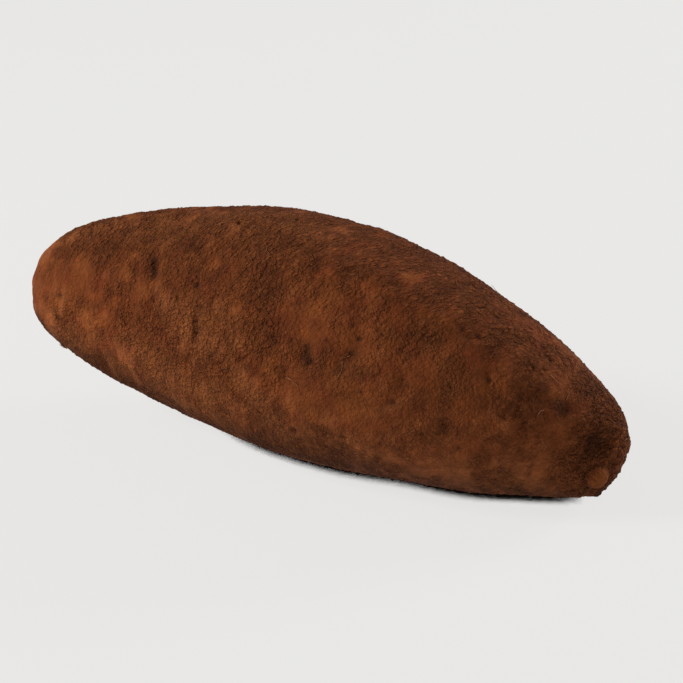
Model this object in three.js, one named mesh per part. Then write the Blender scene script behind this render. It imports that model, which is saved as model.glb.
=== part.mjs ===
import * as THREE from 'three';
import { mergeVertices } from 'three/addons/utils/BufferGeometryUtils.js';

// A sweet potato: the swollen storage root of the plant, lying on its side.
// Sizes are in millimetres. +X runs from the crown, where the vine was cut off, to the tail,
// where the thin root was snapped off. -Y is the front, +Z is up, and it rests on the plane z = 0.
// A place on the skin is told by its share of the way from the crown (0) to the tail (1), and by
// its turn in degrees round the root, from the top (0) towards the front (90).

// Driving dimensions: the length of the middle line, and the breadth of a plain ellipsoid on it
const LENGTH = 190;
const THICKNESS = 74;
const HEIGHT_TO_BREADTH = 0.97;

// Control sections from crown to tail: where the root's middle line is drawn towards, and how full
// the root is there beside a plain ellipsoid of the same length and thickness
const SECTIONS = [
  { side: -25.3, height: 43.1, fullness: 1.202 },
  { side: -10.1, height: 38.8, fullness: 0.786 },
  { side: 21, height: 27.1, fullness: 1.162 },
  { side: -44.8, height: 56.9, fullness: 1.01 },
  { side: 17.8, height: 22.8, fullness: 0.892 },
  { side: -2.9, height: 14.5, fullness: 0.916 },
];

// Flats and bulges that the ground pressed into the root while it grew
const PUSHES = [
  // The blunt end round the tail stub
  { at: new THREE.Vector3(193, -2, 13), reach: 13, by: new THREE.Vector3(-3.8, -4.1, -0.4) },
  { at: new THREE.Vector3(178, -24, 8), reach: 17, by: new THREE.Vector3(-2.4, 1.1, 2.5) },
  { at: new THREE.Vector3(195, 8, 36), reach: 13, by: new THREE.Vector3(3, 2, 1) },
  // The slightly wavy lower front, and one low hump on the back
  { at: new THREE.Vector3(50, -26, 10), reach: 15, by: new THREE.Vector3(0.1, 0.2, 0.4) },
  { at: new THREE.Vector3(74, -26, 7), reach: 15, by: new THREE.Vector3(-0.1, -0.3, -0.5) },
  { at: new THREE.Vector3(121, -26, 6), reach: 15, by: new THREE.Vector3(0, 0.3, 0.5) },
  { at: new THREE.Vector3(148, -17, 4), reach: 15, by: new THREE.Vector3(0.1, -0.2, -0.3) },
  { at: new THREE.Vector3(174, -3, 4), reach: 15, by: new THREE.Vector3(-0.1, 0.2, 0.3) },
  { at: new THREE.Vector3(44, -1, 66), reach: 15, by: new THREE.Vector3(0.1, -0.1, -0.3) },
];

// How far the underside is worn flat where the root rests
const REST_SINK = 0.5;

// The stub where the thin root broke off the tail, in its ring-shaped hollow and puckered skin
const TAIL = {
  share: 1, stub: 3.1, stubRise: 1.3, moat: 4.9, moatReach: 1.5, moatRise: -0.9,
  pucker: 8, puckerReach: 4, puckerRise: 0.2, folds: 7, foldTurn: 40,
};

// The corky scar that the cut vine left on the crown
const CROWN = {
  share: 0, stub: 3.6, stubRise: 0.3, moat: 5.5, moatReach: 2.8, moatRise: -0.9,
  pucker: 11, puckerReach: 4, puckerRise: 0.2, folds: 9, foldTurn: 15,
};

// Single marks in the skin, each drawn from one place to another: a negative rise is a hollow
const MARKS = [
  // Gouges and slits on the crown half of the front
  { from: [0.244, 43], to: [0.255, 51], reach: 2.6, rise: -1.1 },
  { from: [0.359, 47], to: [0.374, 57], reach: 2.2, rise: -0.7 },
  { from: [0.264, 62], to: [0.271, 68], reach: 2.2, rise: -0.5 },
  { from: [0.387, 67], to: [0.395, 77], reach: 1.6, rise: -0.9 },
  { from: [0.385, 91], to: [0.401, 101], reach: 1.8, rise: -0.8 },
  // Pits along the middle of the front
  { from: [0.578, 67], to: [0.583, 72], reach: 2.4, rise: -0.9 },
  { from: [0.633, 53], to: [0.631, 63], reach: 2.2, rise: -0.6 },
  { from: [0.557, 80], to: [0.559, 86], reach: 2, rise: -0.7 },
  { from: [0.626, 69], to: [0.626, 71], reach: 2.2, rise: -0.5 },
  { from: [0.694, 65], to: [0.698, 70], reach: 2.4, rise: -0.6 },
  { from: [0.757, 81], to: [0.76, 87], reach: 2.8, rise: -0.6 },
  // The long soil-filled hollow on the shoulder and the ones between it and the tail
  { from: [0.683, 44], to: [0.721, 40], reach: 3, rise: -0.8 },
  { from: [0.612, 36], to: [0.623, 41], reach: 3, rise: -0.5 },
  { from: [0.743, 62], to: [0.748, 69], reach: 2.6, rise: -0.6 },
  { from: [0.783, 47], to: [0.793, 53], reach: 3, rise: -0.6 },
  { from: [0.835, 49], to: [0.896, 36], reach: 3, rise: -0.7 },
  { from: [0.853, 63], to: [0.863, 69], reach: 2.6, rise: -0.6 },
  // The dimple over the tail stub, the crease in front of it and the lips behind it
  { from: [0.972, 25], to: [0.982, 9], reach: 3.4, rise: -1.5 },
  { from: [0.973, 43], to: [0.995, 114], reach: 1.5, rise: -0.7 },
  { from: [0.963, 11], to: [0.975, -36], reach: 1.9, rise: 0.6 },
  { from: [0.973, -63], to: [0.985, -167], reach: 2.2, rise: 0.8 },
];
const MARK_STEPS = 8;

// Growth wrinkles that run part of the way round the root
const WRINKLES = {
  count: 22, share: [0.07, 0.9], spread: [30, 85], reach: [1.7, 3.2], rise: [-0.35, -0.12], lean: [-3, 3],
};

// Eyes where side roots grew: short dents across the root, each with a lip behind it
const EYES = {
  count: 13, share: [0.1, 0.88], turn: [115, 345], spread: [4, 8], reach: [1.6, 2.4], rise: [-0.9, -0.5],
  lipGap: 0.02, lipRise: 0.35,
};

// Low swells all over
const SWELLS = { count: 9, rise: 0.13, wavelength: [20, 46] };

// Mesh: rings along the root, closer together towards the tail, and points round each ring
const RINGS = 92;
const POINTS_PER_RING = 58;
const TAIL_CROWDING = 0.6;
const MIDDLE_CROWDING = 0.15;

// Repeatable random draws, so that the root is the same each time
let seed = 20117;
function draw([low, high]) {
  seed = (seed * 16807) % 2147483647;
  return low + ((high - low) * seed) / 2147483647;
}

// A Bezier curve through no point but its ends: any number of values, blended pair by pair
function bezier(values, share) {
  let row = values;
  while (row.length > 1) {
    row = row.slice(1).map((value, i) => row[i] + (value - row[i]) * share);
  }
  return row[0];
}

// The same curve's slope at that share
function bezierSlope(values, share) {
  const steps = values.slice(1).map((value, i) => (value - values[i]) * (values.length - 1));
  return bezier(steps, share);
}

const alongValues = SECTIONS.map((section, i) => (LENGTH * i) / (SECTIONS.length - 1));
const sideValues = SECTIONS.map((section) => section.side);
const heightValues = SECTIONS.map((section) => section.height);
const fullnessValues = SECTIONS.map((section) => section.fullness);

function bell(distance, reach) {
  return Math.exp(-((distance / reach) ** 2));
}

// The bare body: an ellipsoid bent along its middle line, with no marks in its skin yet
function bodyPoint(share, turn) {
  const middle = new THREE.Vector3(
    bezier(alongValues, share),
    bezier(sideValues, share),
    bezier(heightValues, share),
  );
  const along = new THREE.Vector3(
    bezierSlope(alongValues, share),
    bezierSlope(sideValues, share),
    bezierSlope(heightValues, share),
  ).normalize();
  const front = new THREE.Vector3().crossVectors(along, new THREE.Vector3(0, 0, 1)).normalize();
  const up = new THREE.Vector3().crossVectors(front, along);
  const radius = THICKNESS * Math.sqrt(Math.max(share * (1 - share), 0)) * bezier(fullnessValues, share);
  const angle = THREE.MathUtils.degToRad(turn);
  const point = middle
    .addScaledVector(up, radius * HEIGHT_TO_BREADTH * Math.cos(angle))
    .addScaledVector(front, radius * Math.sin(angle));
  for (const push of PUSHES) {
    point.addScaledVector(push.by, bell(point.distanceTo(push.at), push.reach));
  }
  return point;
}

// A mark as a row of points on the bare body
function traceMark({ from, to, reach, rise }) {
  const points = [];
  for (let i = 0; i < MARK_STEPS; i += 1) {
    const step = i / (MARK_STEPS - 1);
    const share = THREE.MathUtils.lerp(from[0], to[0], step);
    const turn = THREE.MathUtils.lerp(from[1], to[1], step);
    points.push(bodyPoint(share, turn));
  }
  return { points, reach, rise };
}

function drawWrinkles() {
  const wrinkles = [];
  for (let i = 0; i < WRINKLES.count; i += 1) {
    wrinkles.push({
      share: draw(WRINKLES.share),
      turn: draw([-180, 180]),
      spread: draw(WRINKLES.spread),
      reach: draw(WRINKLES.reach),
      rise: draw(WRINKLES.rise),
      lean: draw(WRINKLES.lean),
    });
  }
  return wrinkles;
}

function drawEyes() {
  const eyes = [];
  for (let i = 0; i < EYES.count; i += 1) {
    const share = draw(EYES.share);
    const turn = draw(EYES.turn);
    const spread = draw(EYES.spread);
    const reach = draw(EYES.reach);
    const rise = draw(EYES.rise);
    eyes.push({ from: [share, turn - spread], to: [share, turn + spread], reach, rise });
    const lip = share + EYES.lipGap;
    eyes.push({ from: [lip, turn - spread], to: [lip, turn + spread], reach, rise: EYES.lipRise });
  }
  return eyes;
}

function drawSwells() {
  const swells = [];
  for (let i = 0; i < SWELLS.count; i += 1) {
    const direction = new THREE.Vector3(draw([-1, 1]), draw([-1, 1]), draw([-1, 1])).normalize();
    const turnsPerMillimetre = (2 * Math.PI) / draw(SWELLS.wavelength);
    swells.push({ wave: direction.multiplyScalar(turnsPerMillimetre), phase: draw([0, 2 * Math.PI]) });
  }
  return swells;
}

const wrinkles = drawWrinkles();
const marks = [...MARKS, ...drawEyes()].map(traceMark);
const swells = drawSwells();
const ends = [TAIL, CROWN].map((end) => ({ ...end, tip: bodyPoint(end.share, 0) }));

// The shortest way round from one turn to another, in degrees
function turnBetween(turn, other) {
  return THREE.MathUtils.euclideanModulo(turn - other + 180, 360) - 180;
}

// A wrinkle is a shallow groove that leans a little along the root as it goes round
function wrinkleRise(wrinkle, share, turn) {
  const around = turnBetween(turn, wrinkle.turn);
  const along = (share - wrinkle.share) * LENGTH + (wrinkle.lean * around) / 45;
  return wrinkle.rise * bell(along, wrinkle.reach) * bell(around, wrinkle.spread);
}

function markRise(mark, point) {
  const nearest = Math.min(...mark.points.map((place) => place.distanceTo(point)));
  return mark.rise * bell(nearest, mark.reach);
}

// The stub, the hollow round it and the puckers that run out from it
function endRise(end, point, turn) {
  const distance = point.distanceTo(end.tip);
  const stub = end.stubRise * Math.exp(-((distance / end.stub) ** 4));
  const moat = end.moatRise * bell(distance - end.moat, end.moatReach);
  const fold = Math.cos(THREE.MathUtils.degToRad(end.folds * (turn - end.foldTurn)));
  const pucker = end.puckerRise * fold * bell(distance - end.pucker, end.puckerReach);
  return stub + moat + pucker;
}

function swellRise(swell, point) {
  return SWELLS.rise * Math.cos(swell.wave.dot(point) + swell.phase);
}

function skinRise(point, share, turn) {
  let rise = 0;
  for (const wrinkle of wrinkles) {
    rise += wrinkleRise(wrinkle, share, turn);
  }
  for (const mark of marks) {
    rise += markRise(mark, point);
  }
  for (const end of ends) {
    rise += endRise(end, point, turn);
  }
  for (const swell of swells) {
    rise += swellRise(swell, point);
  }
  return rise;
}

// The share of the length at a ring, counted as a part of the way from pole to pole
function ringShare(part) {
  const left = 1 - part;
  const crowded = 1 - left * (TAIL_CROWDING + (1 - TAIL_CROWDING) * left);
  const angle = Math.PI * crowded + MIDDLE_CROWDING * Math.sin(2 * Math.PI * crowded);
  return (1 - Math.cos(angle)) / 2;
}

function rootGeometry() {
  const sphere = new THREE.SphereGeometry(1, POINTS_PER_RING, RINGS);
  sphere.rotateZ(-Math.PI / 2);
  sphere.deleteAttribute('normal');
  sphere.deleteAttribute('uv');
  const geometry = mergeVertices(sphere);
  const position = geometry.attributes.position;
  const places = [];
  for (let i = 0; i < position.count; i += 1) {
    const onSphere = new THREE.Vector3().fromBufferAttribute(position, i).normalize();
    const share = ringShare(Math.acos(-onSphere.x) / Math.PI);
    const turn = THREE.MathUtils.radToDeg(Math.atan2(-onSphere.y, onSphere.z));
    places.push({ share, turn });
    position.setXYZ(i, ...bodyPoint(share, turn).toArray());
  }
  geometry.computeVertexNormals();
  const normal = geometry.attributes.normal;
  for (let i = 0; i < position.count; i += 1) {
    const point = new THREE.Vector3().fromBufferAttribute(position, i);
    const outward = new THREE.Vector3().fromBufferAttribute(normal, i);
    point.addScaledVector(outward, skinRise(point, places[i].share, places[i].turn));
    position.setXYZ(i, ...point.toArray());
  }
  return restOnGround(geometry);
}

// Centre the root over the origin, lower it by the sink and flatten what would lie below z = 0
function restOnGround(geometry) {
  geometry.computeBoundingBox();
  const { min, max } = geometry.boundingBox;
  geometry.translate(-(min.x + max.x) / 2, -(min.y + max.y) / 2, -min.z - REST_SINK);
  const position = geometry.attributes.position;
  for (let i = 0; i < position.count; i += 1) {
    position.setZ(i, Math.max(position.getZ(i), 0));
  }
  geometry.computeVertexNormals();
  return geometry;
}

// Soil-dusted red-brown skin
const skinMaterial = new THREE.MeshStandardMaterial({ color: 0x6b3a20, roughness: 0.95, metalness: 0 });

const root = new THREE.Mesh(rootGeometry(), skinMaterial);
root.name = 'sweet_potato';

const sweetPotato = new THREE.Group();
sweetPotato.add(root);

export default sweetPotato;
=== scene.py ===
import math

import bpy
import numpy as np
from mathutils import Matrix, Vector, noise


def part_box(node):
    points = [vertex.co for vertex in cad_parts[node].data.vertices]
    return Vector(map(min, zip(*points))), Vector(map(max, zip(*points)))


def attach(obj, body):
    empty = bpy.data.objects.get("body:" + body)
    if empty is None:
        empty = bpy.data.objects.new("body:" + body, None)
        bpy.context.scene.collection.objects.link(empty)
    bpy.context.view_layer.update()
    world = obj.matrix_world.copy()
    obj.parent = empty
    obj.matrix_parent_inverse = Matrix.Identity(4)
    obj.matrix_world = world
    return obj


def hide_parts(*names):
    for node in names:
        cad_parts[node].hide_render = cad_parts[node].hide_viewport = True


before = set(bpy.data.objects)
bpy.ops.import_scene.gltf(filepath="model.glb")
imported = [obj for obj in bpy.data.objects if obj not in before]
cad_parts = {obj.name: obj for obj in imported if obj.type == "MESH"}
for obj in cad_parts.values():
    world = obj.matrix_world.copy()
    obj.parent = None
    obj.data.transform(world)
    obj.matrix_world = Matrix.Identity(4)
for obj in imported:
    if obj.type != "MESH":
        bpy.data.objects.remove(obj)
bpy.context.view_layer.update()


# The root
# A sweet potato is a storage root that swelled in the soil, thick in the middle, with a blunt crown
# where the vine was cut off and a tail that snapped to a stub. It was dug up and never washed: the
# thin skin is wrinkled across the root, pitted where hair roots grew, and caked with dry soil.
MM = 0.001
LENGTH = 190.0
THICKNESS = 74.0
HEIGHT_TO_BREADTH = 0.97

# Control sections from crown to tail: sideways place, height and fullness, in millimetres
SIDES = (-25.3, -10.1, 21, -44.8, 17.8, -2.9)
HEIGHTS = (43.1, 38.8, 27.1, 56.9, 22.8, 14.5)
FULLNESSES = (1.202, 0.786, 1.162, 1.01, 0.892, 0.916)

# Flats and bulges that the ground pressed into it: place, reach and movement
PUSHES = (
    ((193, -2, 13), 13, (-3.8, -4.1, -0.4)),
    ((178, -24, 8), 17, (-2.4, 1.1, 2.5)),
    ((195, 8, 36), 13, (3, 2, 1)),
    ((50, -26, 10), 15, (0.1, 0.2, 0.4)),
    ((74, -26, 7), 15, (-0.1, -0.3, -0.5)),
    ((121, -26, 6), 15, (0, 0.3, 0.5)),
    ((148, -17, 4), 15, (0.1, -0.2, -0.3)),
    ((174, -3, 4), 15, (-0.1, 0.2, 0.3)),
    ((44, -1, 66), 15, (0.1, -0.1, -0.3)),
)

# Each end has a stub in a ring-shaped hollow with puckered skin round it
TAIL = dict(share=1.0, stub=3.1, stub_rise=1.3, moat=4.9, moat_reach=1.5, moat_rise=-0.9,
            pucker=8.0, pucker_reach=4.0, pucker_rise=0.2, folds=7, fold_turn=40)
CROWN = dict(share=0.0, stub=3.6, stub_rise=0.3, moat=5.5, moat_reach=2.8, moat_rise=-0.9,
             pucker=11.0, pucker_reach=4.0, pucker_rise=0.2, folds=9, fold_turn=15)

# Marks that show from a step away: from and to are (share of the length, turn in degrees)
MARKS = (
    ((0.244, 43), (0.255, 51), 2.6, -1.1),
    ((0.359, 47), (0.374, 57), 2.2, -0.7),
    ((0.264, 62), (0.271, 68), 2.2, -0.5),
    ((0.387, 67), (0.395, 77), 1.6, -0.9),
    ((0.385, 91), (0.401, 101), 1.8, -0.8),
    ((0.578, 67), (0.583, 72), 2.4, -0.9),
    ((0.633, 53), (0.631, 63), 2.2, -0.6),
    ((0.557, 80), (0.559, 86), 2, -0.7),
    ((0.626, 69), (0.626, 71), 2.2, -0.5),
    ((0.694, 65), (0.698, 70), 2.4, -0.6),
    ((0.757, 81), (0.76, 87), 2.8, -0.6),
    ((0.683, 44), (0.721, 40), 3, -0.8),
    ((0.612, 36), (0.623, 41), 3, -0.5),
    ((0.743, 62), (0.748, 69), 2.6, -0.6),
    ((0.783, 47), (0.793, 53), 3, -0.6),
    ((0.835, 49), (0.896, 36), 3, -0.7),
    ((0.853, 63), (0.863, 69), 2.6, -0.6),
    ((0.972, 25), (0.982, 9), 3.4, -1.5),
    ((0.973, 43), (0.995, 114), 1.5, -0.7),
    ((0.963, 11), (0.975, -36), 1.9, 0.6),
    ((0.973, -63), (0.985, -167), 2.2, 0.8),
)
MARK_STEPS = 8

WRINKLES = dict(count=22, share=(0.07, 0.9), spread=(30, 85), reach=(1.7, 3.2), rise=(-0.35, -0.12),
                lean=(-3, 3))
EYES = dict(count=13, share=(0.1, 0.88), turn=(115, 345), spread=(4, 8), reach=(1.6, 2.4),
            rise=(-0.9, -0.5), lip_gap=0.02, lip_rise=0.35)
SWELLS = dict(count=9, rise=0.13, wavelength=(20, 46))

# The skin's mesh: points crowd on the rings' upper side, and rings lie closer than a ring's points
RINGS = 400
POINTS_PER_RING = 248
TAIL_CROWDING = 0.85
MIDDLE_CROWDING = 0.1
TOP_CROWDING = 0.22

seed = 20117


def draw(low, high):
    global seed
    seed = (seed * 16807) % 2147483647
    return low + (high - low) * seed / 2147483647


def bezier(values, share):
    row = [np.full_like(share, value) for value in values]
    while len(row) > 1:
        row = [a + (b - a) * share for a, b in zip(row, row[1:])]
    return row[0]


def bezier_slope(values, share):
    steps = [(b - a) * (len(values) - 1) for a, b in zip(values, values[1:])]
    return bezier(steps, share)


def bell(distance, reach):
    return np.exp(-((distance / reach) ** 2))


def smooth_step(low, high, value):
    part = np.clip((value - low) / (high - low), 0, 1)
    return part * part * (3 - 2 * part)


def unit(vectors):
    return vectors / np.linalg.norm(vectors, axis=-1, keepdims=True)


# The bare body in millimetres from the crown, bent along its middle line
def body_points(share, turn):
    share = np.asarray(share, float)
    alongs = [LENGTH * i / (len(SIDES) - 1) for i in range(len(SIDES))]
    lines = (alongs, SIDES, HEIGHTS)
    middle = np.stack([bezier(line, share) for line in lines], -1)
    along = unit(np.stack([bezier_slope(line, share) for line in lines], -1))
    front = unit(np.cross(along, (0.0, 0.0, 1.0)))
    up = np.cross(front, along)
    radius = THICKNESS * np.sqrt(np.maximum(share * (1 - share), 0)) * bezier(FULLNESSES, share)
    angle = np.radians(turn)
    points = middle + (radius * HEIGHT_TO_BREADTH * np.cos(angle))[..., None] * up
    points = points + (radius * np.sin(angle))[..., None] * front
    for at, reach, by in PUSHES:
        points = points + bell(np.linalg.norm(points - at, axis=-1), reach)[..., None] * by
    return points


def trace(start, end):
    steps = np.linspace(0, 1, MARK_STEPS)
    return body_points(start[0] + (end[0] - start[0]) * steps, start[1] + (end[1] - start[1]) * steps)


def mark_rise(points, mark):
    start, end, reach, rise = mark
    nearest = np.min([np.linalg.norm(points - place, axis=-1) for place in trace(start, end)], axis=0)
    return rise * bell(nearest, reach)


def end_rise(points, turn, end):
    distance = np.linalg.norm(points - body_points(end["share"], 0.0), axis=-1)
    stub = end["stub_rise"] * np.exp(-((distance / end["stub"]) ** 4))
    moat = end["moat_rise"] * bell(distance - end["moat"], end["moat_reach"])
    fold = np.cos(np.radians(end["folds"] * (turn - end["fold_turn"])))
    return stub + moat + end["pucker_rise"] * fold * bell(distance - end["pucker"], end["pucker_reach"])


# Rings from pole to pole, and the faces between them
part = np.linspace(0, 1, RINGS + 1)[1:-1]
left = 1 - part
crowded = 1 - left * (TAIL_CROWDING + (1 - TAIL_CROWDING) * left)
ring_angle = np.pi * crowded + MIDDLE_CROWDING * np.sin(2 * np.pi * crowded)
ring_shares = (1 - np.cos(ring_angle)) / 2
even_turns = np.linspace(-np.pi, np.pi, POINTS_PER_RING, endpoint=False)
ring_turns = np.degrees(even_turns - TOP_CROWDING * np.sin(even_turns))
share = np.concatenate([[0.0], np.repeat(ring_shares, POINTS_PER_RING), [1.0]])
turn = np.concatenate([[0.0], np.tile(ring_turns, len(ring_shares)), [0.0]])
bare = body_points(share, turn)

first = 1 + np.arange(POINTS_PER_RING)
following = np.roll(first, -1)
quads = np.concatenate([
    np.stack([first, following, following + POINTS_PER_RING, first + POINTS_PER_RING], -1)
    + ring * POINTS_PER_RING for ring in range(len(ring_shares) - 1)])
last = first + (len(ring_shares) - 1) * POINTS_PER_RING
crown_fan = np.stack([following, first, np.zeros_like(first)], -1)
tail_fan = np.stack([last, np.roll(last, -1), np.full_like(first, len(bare) - 1)], -1)


def skin_normals(points):
    normals = np.zeros_like(points)
    corners = np.concatenate([quads[:, [0, 1, 2]], quads[:, [0, 2, 3]], crown_fan, tail_fan])
    a, b, c = (points[corners[:, i]] for i in range(3))
    outward = np.cross(b - a, c - a)
    for i in range(3):
        np.add.at(normals, corners[:, i], outward)
    return unit(normals)


def turned_from(centre):
    return (turn - centre + 180) % 360 - 180


normals = skin_normals(bare)
facing = 1.0 if (normals * (bare - bare.mean(0))).sum() > 0 else -1.0
normals = normals * facing

# The broad relief, the same as on the plain solid
broad = np.zeros(len(bare))
for _ in range(WRINKLES["count"]):
    w_share, w_turn = draw(*WRINKLES["share"]), draw(-180, 180)
    w_spread, w_reach = draw(*WRINKLES["spread"]), draw(*WRINKLES["reach"])
    w_rise, w_lean = draw(*WRINKLES["rise"]), draw(*WRINKLES["lean"])
    around = turned_from(w_turn)
    along = (share - w_share) * LENGTH + w_lean * around / 45
    broad += w_rise * bell(along, w_reach) * bell(around, w_spread)
eyes = []
for _ in range(EYES["count"]):
    e_share, e_turn = draw(*EYES["share"]), draw(*EYES["turn"])
    e_spread, e_reach, e_rise = draw(*EYES["spread"]), draw(*EYES["reach"]), draw(*EYES["rise"])
    lip = e_share + EYES["lip_gap"]
    eyes.append(((e_share, e_turn - e_spread), (e_share, e_turn + e_spread), e_reach, e_rise))
    eyes.append(((lip, e_turn - e_spread), (lip, e_turn + e_spread), e_reach, EYES["lip_rise"]))
hollow = np.zeros(len(bare))
for mark in MARKS + tuple(eyes):
    rise = mark_rise(bare, mark)
    broad += rise
    hollow = np.maximum(hollow, -rise)
for end in (TAIL, CROWN):
    broad += end_rise(bare, turn, end)
for _ in range(SWELLS["count"]):
    direction = unit(np.array([draw(-1, 1), draw(-1, 1), draw(-1, 1)]))
    wave = direction * 2 * np.pi / draw(*SWELLS["wavelength"])
    broad += SWELLS["rise"] * np.cos(bare @ wave + draw(0, 2 * np.pi))
shaped = bare + normals * broad[:, None]

# Into the part's own frame: centred over the origin and with its top where the solid's top is
low, high = (np.array(corner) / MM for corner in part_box("sweet_potato"))
move = (low + high) / 2 - (shaped.min(0) + shaped.max(0)) / 2
move[2] = high[2] - shaped[:, 2].max()

# Places on the root as if it were straight: millimetres along it and across it in both directions,
# so that a pattern stretched across the root follows its rings without a seam
straight_radius = THICKNESS * np.sqrt(np.maximum(share * (1 - share), 0))
straight = np.stack([share * LENGTH, straight_radius * np.cos(np.radians(turn)),
                     straight_radius * np.sin(np.radians(turn))], -1)


def noise_over(points, size, octaves, start):
    places = (points / size + start).tolist()
    return np.array([noise.fractal(place, 1.0, 2.0, octaves) for place in places])


# Where dry soil is caked: most on the top, the back and the tail, least on the rubbed front
tail_distance = np.linalg.norm(bare - bare[-1], axis=-1)
crown_distance = np.linalg.norm(bare - bare[0], axis=-1)
front_side = bell(turned_from(80), 48)
patches = noise_over(bare, 15.0, 3, 3.1)
small_patches = noise_over(straight * (1, 0.6, 0.6), 4.5, 3, 7.7)
soil = smooth_step(0.1, 1.0, 0.62 - 0.5 * front_side * (1 - 0.75 * smooth_step(0.55, 0.85, share))
                   + 0.5 * patches + 0.35 * small_patches
                   + 0.35 * smooth_step(0.86, 0.97, share) - 0.9 * bell(tail_distance, 3.6))

# Where the skin feels like sandpaper: least at the crown, low on the crown half of the front and
# over the tail half of the front
smooth_front = front_side * smooth_step(0.5, 0.58, share) * (1 - smooth_step(0.93, 0.97, share))
smooth_crown = bell(turned_from(78), 34) * (1 - smooth_step(0.2, 0.3, share))
crust = smooth_step(0.05, 0.95, 0.88 - 0.75 * smooth_front - 0.55 * smooth_crown
                    - 0.45 * bell(crown_distance, 20) + 0.55 * patches + 0.45 * small_patches
                    - 0.9 * bell(tail_distance, 3.6))

# Short wrinkles across the root, about 1.4 mm apart, and wider ones; they lean towards the tail
leaning = straight + np.stack([0.3 * (straight[:, 2] - straight[:, 1]), 0 * share, 0 * share], -1)
streaks = noise_over(leaning * (1, 0.42, 0.42), 0.85, 2, 11.3)
long_streaks = noise_over(leaning * (1, 0.2, 0.2), 3.4, 2, 19.9)
# Lumps of caked soil, about 1.6 mm across, which take the place of the wrinkles on the front
lumps = noise_over(bare, 0.9, 2, 23.0)
lumpy = 0.3 + 0.7 * front_side
SKIN_OFFSET = -0.22
fine = crust * (0.36 * streaks * (0.85 - 0.25 * front_side) + 0.36 * lumps * lumpy)
fine += 0.07 * streaks + 0.17 * long_streaks + SKIN_OFFSET
fine += 0.55 * bell(crown_distance - CROWN["moat"], CROWN["moat_reach"])
# Paler on the crests of the relief and darker in its hollows: partly rubbed crests and soil lying low,
# partly painted shade of the relief
crest_and_painted_shade = np.clip((fine - SKIN_OFFSET) / 0.6, -0.5, 0.5) + 0.5
# Broad painted light and shade matched to the photo: the tail half of the front is made a little darker,
# and the crown half low on the front and the tail half's top are made a little paler
painted_shade_tail_front = smooth_step(0.42, 0.6, share) * bell(turned_from(80), 45)
painted_light_low_front = (1 - smooth_step(0.4, 0.56, share)) * bell(turned_from(118), 25)
painted_light_tail_top = smooth_step(0.45, 0.62, share) * bell(turned_from(5), 28)
crest_and_painted_shade = crest_and_painted_shade - 0.32 * painted_shade_tail_front + 0.35 * painted_light_low_front + 0.25 * painted_light_tail_top

# Pale patches: from, to and reach. The small ones are scuffs and rubbed patches where the film of soil is
# pale dust; the wide ones over the front of the crown half and middle, and low along the front, are painted
# light
SCUFFS_AND_PAINTED_LIGHT = (
    ((0.386, 92), (0.399, 100), 1.3), ((0.569, 106), (0.579, 114), 1.6), ((0.81, 68), (0.843, 73), 1.4),
    ((0.44, 62), (0.48, 74), 3.4), ((0.49, 90), (0.53, 106), 3.6), ((0.34, 96), (0.42, 112), 3.8),
    ((0.549, 39), (0.553, 40), 0.5), ((0.32, 66), (0.44, 78), 6.0), ((0.08, 118), (0.9, 116), 11.0),
    ((0.22, 96), (0.44, 104), 7.0), ((0.02, 10), (0.16, 8), 6.0), ((0.22, 14), (0.5, 8), 9.0),
)
# Patches of damp soil that has not dried yet: from, to and reach
DAMP_PATCHES = (
    ((0.87, -50), (0.93, 30), 12.0), ((0.7, 96), (0.79, 112), 5.0), ((0.6, 82), (0.66, 84), 3.5),
    ((0.77, 82), (0.78, 86), 2.2), ((0.47, 48), (0.6, 52), 7.0), ((0.93, 30), (0.96, 60), 4.0),
    ((0.955, 0), (0.975, 50), 5.0), ((0.6, 72), (0.86, 80), 8.0),
)


def patch_share(listed):
    strongest = np.zeros(len(bare))
    for start, end, reach in listed:
        nearest = np.min([np.linalg.norm(bare - place, axis=-1) for place in trace(start, end)], axis=0)
        strongest = np.maximum(strongest, bell(nearest * (1 + 0.8 * small_patches), reach))
    return strongest


scuffed_and_painted_light = patch_share(SCUFFS_AND_PAINTED_LIGHT)
damp_soil_and_moat_shade = patch_share(DAMP_PATCHES)
# The ring-shaped hollow round the stub is deepest, and darkest, over its upper side: soil packed in the
# crease, with painted shade in the hollow
tail_moat = 1.5 * bell(tail_distance - 4.4, 0.9) * bell(turned_from(50), 100)
damp_soil_and_moat_shade = np.maximum(damp_soil_and_moat_shade * (1 - bell(tail_distance, 3.6)), tail_moat)

# Pits that hair roots left, 1 to 2.5 mm across: share, turn, reach and depth
PITS = [
    (0.58, 69, 1.2, 0.75), (0.588, 72, 0.9, 0.6), (0.601, 61, 0.9, 0.5), (0.633, 55, 1.0, 0.55),
    (0.631, 63, 0.9, 0.5), (0.557, 83, 0.9, 0.5), (0.52, 75, 0.8, 0.4), (0.654, 50, 0.9, 0.45),
    (0.68, 54, 0.8, 0.4), (0.694, 67, 1.0, 0.5), (0.655, 79, 0.7, 0.4), (0.692, 79, 0.8, 0.45),
    (0.729, 78, 0.8, 0.45), (0.667, 85, 0.7, 0.4), (0.653, 70, 0.7, 0.4), (0.613, 81, 0.7, 0.4),
    (0.537, 68, 0.8, 0.4), (0.743, 65, 0.8, 0.45), (0.751, 30, 1.0, 0.5), (0.827, 28, 0.9, 0.5),
    (0.786, 50, 1.0, 0.5), (0.249, 47, 1.2, 0.75), (0.244, 44, 1.0, 0.65), (0.368, 52, 1.1, 0.65),
    (0.389, 70, 0.9, 0.65), (0.393, 75, 0.8, 0.55), (0.268, 65, 0.9, 0.45), (0.757, 83, 1.2, 0.45),
]
SCATTERED_PITS = dict(count=260, reach=(0.55, 1.05), depth=(0.12, 0.45))
generator = np.random.default_rng(41)
pit_chance = np.sqrt(np.maximum(share * (1 - share), 0)) * (1 - 0.5 * front_side)
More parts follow.
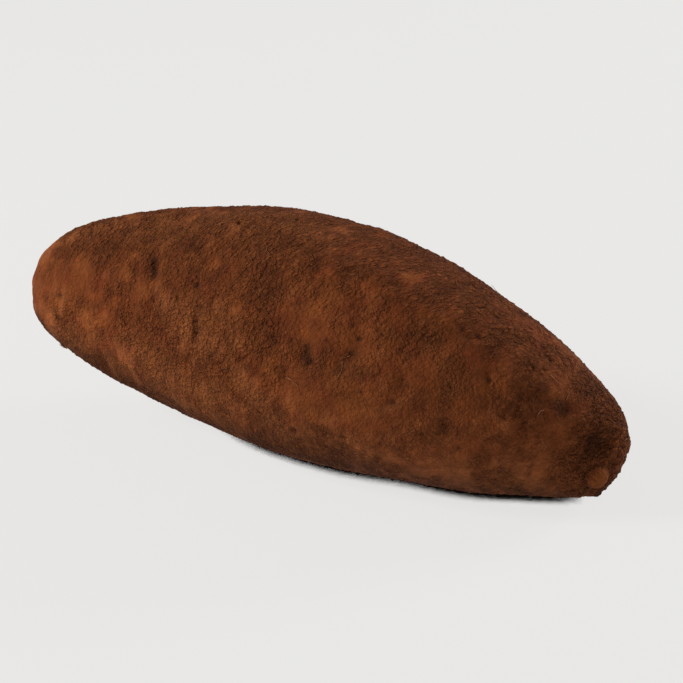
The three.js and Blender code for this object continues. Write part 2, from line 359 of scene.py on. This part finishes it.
for place in generator.choice(len(bare), SCATTERED_PITS["count"], replace=False,
                              p=pit_chance / pit_chance.sum()):
    PITS.append((share[place], turn[place], generator.uniform(*SCATTERED_PITS["reach"]),
                 generator.uniform(*SCATTERED_PITS["depth"])))
pit_hollow = np.zeros(len(bare))
for p_share, p_turn, p_reach, p_depth in PITS:
    apart = np.linalg.norm(bare - body_points(p_share, p_turn), axis=-1)
    ragged = apart * (1 + 0.9 * small_patches)
    dent = bell(ragged, p_reach)
    fine -= p_depth * dent
    pit_hollow = np.maximum(pit_hollow, dent * min(p_depth / 0.6, 1))

skin_points = shaped + normals * fine[:, None] + move
skin_points[:, 2] = np.maximum(skin_points[:, 2], 0)

skin_mesh = bpy.data.meshes.new("root")
faces = quads.tolist() + crown_fan.tolist() + tail_fan.tolist()
if facing < 0:
    faces = [face[::-1] for face in faces]
skin_mesh.from_pydata((skin_points * MM).tolist(), [], faces)
skin_mesh.shade_smooth()


def keep_on_skin(name, kind, field, values):
    attribute = skin_mesh.attributes.new(name, kind, "POINT")
    attribute.data.foreach_set(field, np.ascontiguousarray(values, np.float32).ravel())


keep_on_skin("straight", "FLOAT_VECTOR", "vector", leaning * MM)
keep_on_skin("front", "FLOAT", "value", front_side)
keep_on_skin("soil", "FLOAT", "value", soil)
keep_on_skin("crust", "FLOAT", "value", crust * (1.3 - 0.3 * front_side))
keep_on_skin("crest_and_painted_shade", "FLOAT", "value", crest_and_painted_shade)
# Painted shade in the gouges and pits, darker the deeper they are, together with the soil lying in them
keep_on_skin("hollow", "FLOAT", "value", np.clip(hollow / 1.1, 0, 1) ** 1.6
             * (1 - 0.5 * smooth_step(0.95, 0.97, share)))
keep_on_skin("pit", "FLOAT", "value", pit_hollow)
keep_on_skin("scuff_and_painted_light", "FLOAT", "value", scuffed_and_painted_light)
keep_on_skin("damp_and_hollow_shade", "FLOAT", "value", damp_soil_and_moat_shade)
# Painted shade on the underside, darkest where it turns towards the floor
keep_on_skin("underside", "FLOAT", "value", smooth_step(105, 135, np.abs(turn)))
keep_on_skin("stub", "FLOAT", "value", np.exp(-((tail_distance / 3.5) ** 6)))

root = bpy.data.objects.new("root_with_skin", skin_mesh)
bpy.context.scene.collection.objects.link(root)


def colour(text):
    channels = [int(text[i:i + 2], 16) / 255 for i in (1, 3, 5)]
    linear = [c / 12.92 if c <= 0.04045 else ((c + 0.055) / 1.055) ** 2.4 for c in channels]
    return (*linear, 1.0)


def add_node(tree, kind, inputs=None, **settings):
    added = tree.nodes.new(kind)
    for name, value in settings.items():
        setattr(added, name, value)
    for name, value in (inputs or {}).items():
        socket = added.inputs[name]
        if isinstance(value, bpy.types.NodeSocket):
            tree.links.new(value, socket)
        else:
            socket.default_value = value
    return added


# Unwashed sweet potato skin: a thin dull cork layer under a film of dry red soil. It gives the eye a matte
# brown with no gloss at all, orange where the skin is rubbed clean, darker where soil is caked and nearly
# black in the pits. The pits, gouges and underside are also darkened by painted shade, and broad areas and
# the crust's relief carry painted light and shade.
unwashed_skin = bpy.data.materials.new("unwashed_sweet_potato_skin")
unwashed_skin.use_nodes = True
tree = unwashed_skin.node_tree
tree.nodes.clear()
SKIN_RED = colour("#692f15")
SKIN_ORANGE = colour("#80441d")
SOIL_FILM = colour("#733c1e")
PIT_AND_SHADE_DARK = colour("#22110a")
DUST_AND_LIGHT_PALE = colour("#9a5a31")
STUB_ORANGE = colour("#7c431f")
CORK_DRIFT = 9 * MM
GRAIN_SPACING = 0.5 * MM
DUST_SPACING = 4.0 * MM
WRINKLE_SPACING = 1.15 * MM
LUMP_SPACING = 1.2 * MM
BLOTCH_SPACING = 5 * MM
CRUST_DEPTH = 1.3 * MM

place = add_node(tree, "ShaderNodeTexCoord").outputs["Object"]
straight_place = add_node(tree, "ShaderNodeAttribute", attribute_name="straight").outputs["Vector"]
on_skin = {kept: add_node(tree, "ShaderNodeAttribute", attribute_name=kept).outputs["Fac"]
           for kept in ("soil", "crust", "crest_and_painted_shade", "hollow", "pit", "scuff_and_painted_light", "underside", "damp_and_hollow_shade", "front",
                        "stub")}

# Cork colour drifts over about 9 mm
skin_drift = add_node(tree, "ShaderNodeTexNoise", {"Vector": place, "Scale": 1 / CORK_DRIFT, "Detail": 4.0})
skin_share = add_node(tree, "ShaderNodeMapRange", {
    "Value": skin_drift.outputs["Fac"], "From Min": 0.3, "From Max": 0.7})
skin_colour = add_node(tree, "ShaderNodeMix", {
    "Factor": skin_share.outputs["Result"], "A": SKIN_RED, "B": SKIN_ORANGE}, data_type="RGBA")

# Soil grains are 0.1 to 0.5 mm; the specks are drawn 0.5 mm apart so that they show
grain = add_node(tree, "ShaderNodeTexNoise", {
    "Vector": place, "Scale": 1 / GRAIN_SPACING, "Detail": 2.0, "Roughness": 0.6})
speckled = add_node(tree, "ShaderNodeMath", {0: grain.outputs["Fac"], 1: 1.1, 2: -0.55},
                    operation="MULTIPLY_ADD")

# The film of soil is thickest where it is caked, and its edge breaks up into specks
soil_edge = add_node(tree, "ShaderNodeMath", {0: on_skin["soil"], 1: speckled.outputs[0]})
soil_share = add_node(tree, "ShaderNodeMapRange", {
    "Value": soil_edge.outputs[0], "From Min": 0.0, "From Max": 0.8, "To Min": 0.12, "To Max": 0.95})
soiled = add_node(tree, "ShaderNodeMix", {
    "Factor": soil_share.outputs["Result"], "A": skin_colour.outputs["Result"],
    "B": SOIL_FILM}, data_type="RGBA")

# Pale dust clings in patches that stretch across the root, and the listed pale patches are added, the wide
# ones as painted light
across = add_node(tree, "ShaderNodeVectorMath", {0: straight_place, 1: (1.0, 0.56, 0.56)},
                  operation="MULTIPLY")
dust_noise = add_node(tree, "ShaderNodeTexNoise", {
    "Vector": across.outputs[0], "Scale": 1 / DUST_SPACING, "Detail": 5.0, "Roughness": 0.75})
dust_and_light_amount = add_node(tree, "ShaderNodeMath", {0: on_skin["scuff_and_painted_light"], 1: 0.26, 2: dust_noise.outputs["Fac"]},
                       operation="MULTIPLY_ADD")
dust_and_light_share = add_node(tree, "ShaderNodeMapRange", {
    "Value": dust_and_light_amount.outputs[0], "From Min": 0.52, "From Max": 0.8, "To Max": 0.55})
dusty_and_painted_light = add_node(tree, "ShaderNodeMix", {
    "Factor": dust_and_light_share.outputs["Result"], "A": soiled.outputs["Result"], "B": DUST_AND_LIGHT_PALE},
    data_type="RGBA")

# The crust feels like sandpaper: its wrinkles run across the root 1 mm apart, and on the front it is
# small lumps instead
streak_cells = add_node(tree, "ShaderNodeTexVoronoi", {
    "Vector": across.outputs[0], "Scale": 1 / WRINKLE_SPACING, "Detail": 1.0, "Roughness": 0.6})
lump_cells = add_node(tree, "ShaderNodeTexVoronoi", {
    "Vector": place, "Scale": 1 / LUMP_SPACING, "Detail": 1.0, "Roughness": 0.6})
crust_low = add_node(tree, "ShaderNodeMix", {
    "Factor": on_skin["front"], "A": streak_cells.outputs["Distance"], "B": lump_cells.outputs["Distance"]},
    data_type="FLOAT")
crust_high = add_node(tree, "ShaderNodeMath", {0: crust_low.outputs["Result"], 1: -1.0, 2: 1.0},
                      operation="MULTIPLY_ADD")
relief = add_node(tree, "ShaderNodeMath", {
    0: grain.outputs["Fac"], 1: 0.5, 2: crust_high.outputs[0]}, operation="MULTIPLY_ADD")

# The crust is darker in its low places and paler on its lumps, most where the crust is: partly soil that
# stays low and lumps rubbed paler, partly painted shade and light of the crust's relief
contrast = add_node(tree, "ShaderNodeMath", {0: on_skin["crust"], 1: 0.75, 2: 0.25},
                    operation="MULTIPLY_ADD")
low_dark = add_node(tree, "ShaderNodeMath", {0: contrast.outputs[0], 1: -0.34, 2: 1.06},
                    operation="MULTIPLY_ADD")
high_pale = add_node(tree, "ShaderNodeMath", {0: contrast.outputs[0], 1: 0.34, 2: 1.06},
                     operation="MULTIPLY_ADD")
fine_shade = add_node(tree, "ShaderNodeMapRange", {
    "Value": relief.outputs[0], "From Min": 0.45, "From Max": 1.0, "To Min": low_dark.outputs[0],
    "To Max": high_pale.outputs[0]})
# Painted light and shade: the colour is made paler or darker by the relief's crests and the broad painted
# areas
broad_shade = add_node(tree, "ShaderNodeMapRange", {
    "Value": on_skin["crest_and_painted_shade"], "To Min": 0.8, "To Max": 1.2})
# Damp comes and goes in blotches about 5 mm across
blotch_noise = add_node(tree, "ShaderNodeTexNoise", {
    "Vector": place, "Scale": 1 / BLOTCH_SPACING, "Detail": 4.0, "Roughness": 0.6})
blotch = add_node(tree, "ShaderNodeMapRange", {
    "Value": blotch_noise.outputs["Fac"], "From Min": 0.35, "From Max": 0.62, "To Min": 0.76,
    "To Max": 1.1})
blotched = add_node(tree, "ShaderNodeMath", {
    0: blotch.outputs["Result"], 1: broad_shade.outputs["Result"]}, operation="MULTIPLY")
shade = add_node(tree, "ShaderNodeMath", {
    0: fine_shade.outputs["Result"], 1: blotched.outputs[0]}, operation="MULTIPLY")
grained = add_node(tree, "ShaderNodeVectorMath", {
    0: dusty_and_painted_light.outputs["Result"], "Scale": shade.outputs[0]}, operation="SCALE")

# Damp soil patches are darker, and the pits and gouges are darkened by their depth, in grains: soil lying
# in them, with painted shade in the hollows
patch_dark = add_node(tree, "ShaderNodeMath", {0: on_skin["damp_and_hollow_shade"], 1: 0.5, 2: on_skin["hollow"]},
                      operation="MULTIPLY_ADD")
dark_here = add_node(tree, "ShaderNodeMath", {0: patch_dark.outputs[0], 1: 0.7}, operation="MULTIPLY")
pits_and_gouges = add_node(tree, "ShaderNodeMath", {0: on_skin["pit"], 1: dark_here.outputs[0]},
                           operation="MAXIMUM")
dark_edge = add_node(tree, "ShaderNodeMath", {0: pits_and_gouges.outputs[0], 1: speckled.outputs[0]},
                     operation="SUBTRACT")
dark_share = add_node(tree, "ShaderNodeMapRange", {
    "Value": dark_edge.outputs[0], "From Min": 0.25, "From Max": 0.75, "To Max": 0.75})
pitted = add_node(tree, "ShaderNodeMix", {
    "Factor": dark_share.outputs["Result"], "A": grained.outputs["Vector"], "B": PIT_AND_SHADE_DARK},
    data_type="RGBA")
# Painted shade: the underside is darkened towards the floor, where shade falls under the root
underside_shade_share = add_node(tree, "ShaderNodeMath", {0: on_skin["underside"], 1: 0.45}, operation="MULTIPLY")
underside_shaded = add_node(tree, "ShaderNodeMix", {
    "Factor": underside_shade_share.outputs[0], "A": pitted.outputs["Result"], "B": PIT_AND_SHADE_DARK}, data_type="RGBA")
stub_share = add_node(tree, "ShaderNodeMath", {0: on_skin["stub"], 1: 0.6}, operation="MULTIPLY")
stubbed = add_node(tree, "ShaderNodeMix", {
    "Factor": stub_share.outputs[0], "A": underside_shaded.outputs["Result"], "B": STUB_ORANGE},
    data_type="RGBA")

relief_here = add_node(tree, "ShaderNodeMath", {
    0: relief.outputs[0], 1: contrast.outputs[0]}, operation="MULTIPLY")
grain_bump = add_node(tree, "ShaderNodeBump", {
    "Height": relief_here.outputs[0], "Strength": 1.0, "Distance": CRUST_DEPTH})
# Bare cork is a little smoother than the film of soil
skin_rough = add_node(tree, "ShaderNodeMapRange", {
    "Value": soil_share.outputs["Result"], "To Min": 0.88, "To Max": 0.98})
skin_shader = add_node(tree, "ShaderNodeBsdfPrincipled", {
    "Base Color": stubbed.outputs["Result"], "Roughness": skin_rough.outputs["Result"],
    "Specular IOR Level": 0.1,
    "Normal": grain_bump.outputs["Normal"]})
add_node(tree, "ShaderNodeOutputMaterial", {"Surface": skin_shader.outputs["BSDF"]})
skin_mesh.materials.append(unwashed_skin)

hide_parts("sweet_potato")
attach(root, "root")


# Soil crumbs
# Dry soil that broke into crumbs 0.3 to 0.6 mm across and stuck to the skin, thickest where it is
# crusted. Each crumb is a lump with flat sides, pressed most of its way into the skin.
CRUMBS = dict(count=9800, size=(0.14, 0.3), sink=0.84)
GOLDEN = (1 + math.sqrt(5)) / 2
lump_corners = unit(np.array([
    (-1, GOLDEN, 0), (1, GOLDEN, 0), (-1, -GOLDEN, 0), (1, -GOLDEN, 0),
    (0, -1, GOLDEN), (0, 1, GOLDEN), (0, -1, -GOLDEN), (0, 1, -GOLDEN),
    (GOLDEN, 0, -1), (GOLDEN, 0, 1), (-GOLDEN, 0, -1), (-GOLDEN, 0, 1)], float))
lump_faces = np.array([
    (0, 11, 5), (0, 5, 1), (0, 1, 7), (0, 7, 10), (0, 10, 11), (1, 5, 9), (5, 11, 4), (11, 10, 2),
    (10, 7, 6), (7, 1, 8), (3, 9, 4), (3, 4, 2), (3, 2, 6), (3, 6, 8), (3, 8, 9), (4, 9, 5),
    (2, 4, 11), (6, 2, 10), (8, 6, 7), (9, 8, 1)])
skin_normals_now = skin_normals(skin_points) * facing
crumb_places = np.clip(crust, 0, 1) ** 1.5 + 1.2 * pit_hollow + 0.06
crumb_places = crumb_places * np.sqrt(np.maximum(share * (1 - share), 0.0))
crumb_places[skin_points[:, 2] < 0.8] = 0
crumb_places[bell(tail_distance, 3.4) > 0.3] = 0


def scatter(name, corners, corner_faces, count, size, sink, seed_number):
    generator = np.random.default_rng(seed_number)
    picked = generator.choice(len(bare), count, replace=False, p=crumb_places / crumb_places.sum())
    sizes = size[0] + (size[1] - size[0]) * generator.random(count) ** 2.2
    lumps = corners * generator.uniform(0.7, 1.3, (count, len(corners), 1))
    lumps = lumps * generator.uniform(0.75, 1.25, (count, 1, 3)) * sizes[:, None, None]
    outward = skin_normals_now[picked]
    lumps -= 0.35 * (lumps @ outward[:, :, None]) * outward[:, None, :]
    aside = generator.uniform(-0.3, 0.3, (count, 3))
    aside -= (aside * outward).sum(-1, keepdims=True) * outward
    centres = skin_points[picked] + aside + outward * (0.65 * sizes * (1 - 2 * sink))[:, None]
    points = (centres[:, None, :] + lumps).reshape(-1, 3)
    points[:, 2] = np.maximum(points[:, 2], 0.02)
    joined = (corner_faces[None] + (np.arange(count) * len(corners))[:, None, None]).reshape(-1, 3)
    mesh = bpy.data.meshes.new(name)
    mesh.from_pydata((points * MM).tolist(), [], joined.tolist())
    damp_and_hollow_shade = mesh.attributes.new("damp_and_hollow_shade", "FLOAT", "POINT")
    # Crumbs in the pits and gouges are darkened by their depth: damp soil, with painted shade in the
    # hollows
    here = np.clip(np.maximum(pit_hollow, 0.8 * np.clip(hollow / 0.9, 0, 1))[picked], 0, 1)
    damp_and_hollow_shade.data.foreach_set("value", np.repeat(here, len(corners)).astype(np.float32))
    piece = bpy.data.objects.new(name, mesh)
    bpy.context.scene.collection.objects.link(piece)
    return piece


crumbs = scatter("soil_crumbs", lump_corners, lump_faces, CRUMBS["count"], CRUMBS["size"],
                 CRUMBS["sink"], 7)

# Dry red loam: dull, each crumb a little lighter or darker than the next, dark in the pits and gouges,
# where damp soil lies and where it is painted shade
dry_loam = bpy.data.materials.new("dry_red_loam")
dry_loam.use_nodes = True
tree = dry_loam.node_tree
tree.nodes.clear()
LOAM_DARK = colour("#663416")
LOAM_LIGHT = colour("#845028")
LOAM_DAMP_AND_SHADED = colour("#241008")
loam_place = add_node(tree, "ShaderNodeTexCoord").outputs["Object"]
damp_and_shade_here = add_node(tree, "ShaderNodeAttribute", attribute_name="damp_and_hollow_shade").outputs["Fac"]
loam_drift = add_node(tree, "ShaderNodeTexNoise", {
    "Vector": loam_place, "Scale": 1 / (1.2 * MM), "Detail": 2.0})
loam_share = add_node(tree, "ShaderNodeMapRange", {
    "Value": loam_drift.outputs["Fac"], "From Min": 0.35, "From Max": 0.65})
loam_dry = add_node(tree, "ShaderNodeMix", {
    "Factor": loam_share.outputs["Result"], "A": LOAM_DARK, "B": LOAM_LIGHT}, data_type="RGBA")
loam_colour = add_node(tree, "ShaderNodeMix", {
    "Factor": damp_and_shade_here, "A": loam_dry.outputs["Result"], "B": LOAM_DAMP_AND_SHADED}, data_type="RGBA")
# Silt on the crumbs is finer than 0.1 mm; its bump is drawn 0.3 mm apart
silt = add_node(tree, "ShaderNodeTexNoise", {"Vector": loam_place, "Scale": 1 / (0.3 * MM), "Detail": 2.0})
silt_bump = add_node(tree, "ShaderNodeBump", {
    "Height": silt.outputs["Fac"], "Strength": 0.5, "Distance": 0.1 * MM})
loam_rough = add_node(tree, "ShaderNodeMapRange", {
    "Value": silt.outputs["Fac"], "To Min": 0.9, "To Max": 1.0})
loam_shader = add_node(tree, "ShaderNodeBsdfPrincipled", {
    "Base Color": loam_colour.outputs["Result"], "Roughness": loam_rough.outputs["Result"],
    "Specular IOR Level": 0.1, "Normal": silt_bump.outputs["Normal"]})
add_node(tree, "ShaderNodeOutputMaterial", {"Surface": loam_shader.outputs["BSDF"]})
crumbs.data.materials.append(dry_loam)
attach(crumbs, "root")


# Soil grains
# Sand grains 0.25 to 0.45 mm across that cover the crusted skin like coarse powder. They are
# the same dry loam as the crumbs, and show as its sandpaper grain.
GRAINS = dict(count=24000, size=(0.12, 0.21), sink=0.74)
grain_corners = np.array([(1, 0, 0), (-1, 0, 0), (0, 1, 0), (0, -1, 0), (0, 0, 1), (0, 0, -1)], float)
grain_faces = np.array([(0, 2, 4), (2, 1, 4), (1, 3, 4), (3, 0, 4), (2, 0, 5), (1, 2, 5), (3, 1, 5),
                        (0, 3, 5)])
grains = scatter("soil_grains", grain_corners, grain_faces, GRAINS["count"], GRAINS["size"],
                 GRAINS["sink"], 11)
grains.data.materials.append(dry_loam)
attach(grains, "root")


# Root hairs
# Thin hair roots, 0.2 mm thick, that dried when the root was dug up. Each grows out of a pit and lies
# bent along the skin; most broke off to a few millimetres.
HAIRS = dict(count=26, length=(2.0, 7.0), radius=0.1, steps=8, sides=5, arch=(0.1, 0.7))
generator = np.random.default_rng(5)
hair_points, hair_faces = [], []
hair_chance = pit_hollow * (crown_distance > 12) * (tail_distance > 12) * (skin_points[:, 2] > 8)
for start in generator.choice(len(bare), HAIRS["count"], replace=False, p=hair_chance / hair_chance.sum()):
    steps = np.linspace(0, 1, HAIRS["steps"])
    length = generator.uniform(*HAIRS["length"])
    heading = generator.uniform(0, 2 * np.pi)
    bend = heading + generator.uniform(-1.2, 1.2) * steps
    radius_here = max(straight_radius[start], 5.0)
    hair_share = share[start] + np.cumsum(np.cos(bend)) * length / len(steps) / LENGTH
    hair_turn = turn[start] + np.degrees(np.cumsum(np.sin(bend)) * length / len(steps) / radius_here)
    on_body = body_points(np.clip(hair_share, 0.01, 0.99), hair_turn)
    nearest = [np.argmin(np.linalg.norm(bare - spot, axis=-1)) for spot in on_body]
    rise = (broad + fine)[nearest]
    rise = np.convolve(np.pad(rise, 1, "edge"), (0.25, 0.5, 0.25), "valid")
    rise = rise + HAIRS["radius"] + generator.uniform(*HAIRS["arch"]) * steps
    line = on_body + normals[nearest] * rise[:, None] + move
    ahead = unit(np.gradient(line, axis=0))
    side = unit(np.cross(ahead, normals[nearest]))
    upward = np.cross(side, ahead)
    thin = HAIRS["radius"] * (1 - 0.6 * steps)[:, None]
    base = len(hair_points)
    for corner in range(HAIRS["sides"]):
        angle = 2 * np.pi * corner / HAIRS["sides"]
        hair_points.extend((line + thin * (math.cos(angle) * side + math.sin(angle) * upward)).tolist())
    for corner in range(HAIRS["sides"]):
        here = base + corner * HAIRS["steps"]
        there = base + (corner + 1) % HAIRS["sides"] * HAIRS["steps"]
        for step in range(HAIRS["steps"] - 1):
            hair_faces.append((here + step, there + step, there + step + 1, here + step + 1))
    for step in (0, HAIRS["steps"] - 1):
        cap = [base + corner * HAIRS["steps"] + step for corner in range(HAIRS["sides"])]
        hair_faces.append(cap if step else cap[::-1])
hair_mesh = bpy.data.meshes.new("root_hairs")
hair_mesh.from_pydata((np.array(hair_points) * MM).tolist(), [], hair_faces)
hair_mesh.shade_smooth()
hairs = bpy.data.objects.new("root_hairs", hair_mesh)
bpy.context.scene.collection.objects.link(hairs)

# Dry root fibre: a dull brown, paler where it is dusty, with a slight roughness along it
root_fibre = bpy.data.materials.new("dry_root_fibre")
root_fibre.use_nodes = True
tree = root_fibre.node_tree
tree.nodes.clear()
FIBRE_DARK = colour("#6b3a1f")
FIBRE_PALE = colour("#a0714a")
fibre_place = add_node(tree, "ShaderNodeTexCoord").outputs["Object"]
fibre_noise = add_node(tree, "ShaderNodeTexNoise", {
    "Vector": fibre_place, "Scale": 1 / (0.8 * MM), "Detail": 3.0})
fibre_share = add_node(tree, "ShaderNodeMapRange", {
    "Value": fibre_noise.outputs["Fac"], "From Min": 0.35, "From Max": 0.65})
fibre_colour = add_node(tree, "ShaderNodeMix", {
    "Factor": fibre_share.outputs["Result"], "A": FIBRE_DARK, "B": FIBRE_PALE}, data_type="RGBA")
fibre_bump = add_node(tree, "ShaderNodeBump", {
    "Height": fibre_noise.outputs["Fac"], "Strength": 0.6, "Distance": 0.05 * MM})
fibre_shader = add_node(tree, "ShaderNodeBsdfPrincipled", {
    "Base Color": fibre_colour.outputs["Result"], "Roughness": 0.85, "Specular IOR Level": 0.2,
    "Normal": fibre_bump.outputs["Normal"]})
add_node(tree, "ShaderNodeOutputMaterial", {"Surface": fibre_shader.outputs["BSDF"]})
hair_mesh.materials.append(root_fibre)
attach(hairs, "root")


# The floor
# A wide sheet of pale grey paper that the root lies on.
floor_mesh = bpy.data.meshes.new("floor")
FLOOR_HALF = 3.0
floor_mesh.from_pydata([(-FLOOR_HALF, -FLOOR_HALF, 0), (FLOOR_HALF, -FLOOR_HALF, 0),
                        (FLOOR_HALF, FLOOR_HALF, 0), (-FLOOR_HALF, FLOOR_HALF, 0)], [], [(0, 1, 2, 3)])
floor = bpy.data.objects.new("floor", floor_mesh)
bpy.context.scene.collection.objects.link(floor)
paper = bpy.data.materials.new("pale_paper")
paper.use_nodes = True
tree = paper.node_tree
tree.nodes.clear()
PAPER = colour("#e8e7e5")
# Most of the paper's light is its own glow, so that shadows stay as faint as in a bright light tent; the
# glow stops in the narrow gap under the root, which paints a thin dark contact shadow there
gap = add_node(tree, "ShaderNodeAmbientOcclusion", {"Distance": 6 * MM}, samples=16)
glow = add_node(tree, "ShaderNodeMapRange", {
    "Value": gap.outputs["AO"], "From Min": 0.2, "From Max": 0.24, "To Max": 0.92})
paper_shader = add_node(tree, "ShaderNodeBsdfPrincipled", {
    "Base Color": colour("#4a4a4a"), "Roughness": 0.9, "Specular IOR Level": 0.0,
    "Emission Color": PAPER, "Emission Strength": glow.outputs["Result"]})
add_node(tree, "ShaderNodeOutputMaterial", {"Surface": paper_shader.outputs["BSDF"]})
floor_mesh.materials.append(paper)


# Light
# Soft daylight from all round, one large soft light high on the left and a little in front, and a
# second one low behind the tail end, which lights the far side of the top.
world = bpy.data.worlds.new("soft_daylight")
bpy.context.scene.world = world
world.use_nodes = True
world.node_tree.nodes["Background"].inputs["Color"].default_value = colour("#ffffff")
world.node_tree.nodes["Background"].inputs["Strength"].default_value = 0.3
key_data = bpy.data.lights.new("soft_key", "AREA")
key_data.shape = "DISK"
key_data.size = 0.32
key_data.energy = 17.2
key = bpy.data.objects.new("soft_key", key_data)
bpy.context.scene.collection.objects.link(key)
key.location = (-0.9, -0.75, 0.8)
key.rotation_euler = (Vector((0, 0, 0.03)) - key.location).to_track_quat("-Z", "Y").to_euler()
back_light_data = bpy.data.lights.new("soft_back_light", "AREA")
back_light_data.shape = "DISK"
back_light_data.size = 0.5
back_light_data.energy = 15.5
back_light = bpy.data.objects.new("soft_back_light", back_light_data)
bpy.context.scene.collection.objects.link(back_light)
back_light.location = (0.68, 1.16, 0.52)
back_light.rotation_euler = (Vector((0, 0, 0.03)) - back_light.location).to_track_quat("-Z", "Y").to_euler()


# Camera
# An 85 mm lens about half a metre away, in front of the tail end and above it.
AZIMUTH, ELEVATION = math.radians(31.44), math.radians(23.47)
DISTANCE = 477.0 * MM
LOOK_AT = Vector((8.4, 0.0, 35.75)) * MM
camera_data = bpy.data.cameras.new("camera")
camera_data.lens = 85
camera_data.sensor_width = 36
camera = bpy.data.objects.new("camera", camera_data)
bpy.context.scene.collection.objects.link(camera)
back = Vector((math.sin(AZIMUTH) * math.cos(ELEVATION), -math.cos(AZIMUTH) * math.cos(ELEVATION),
               math.sin(ELEVATION)))
camera.location = LOOK_AT + back * DISTANCE
camera.rotation_euler = (-back).to_track_quat("-Z", "Y").to_euler()
bpy.context.scene.camera = camera
bpy.context.scene.view_settings.view_transform = "Standard"
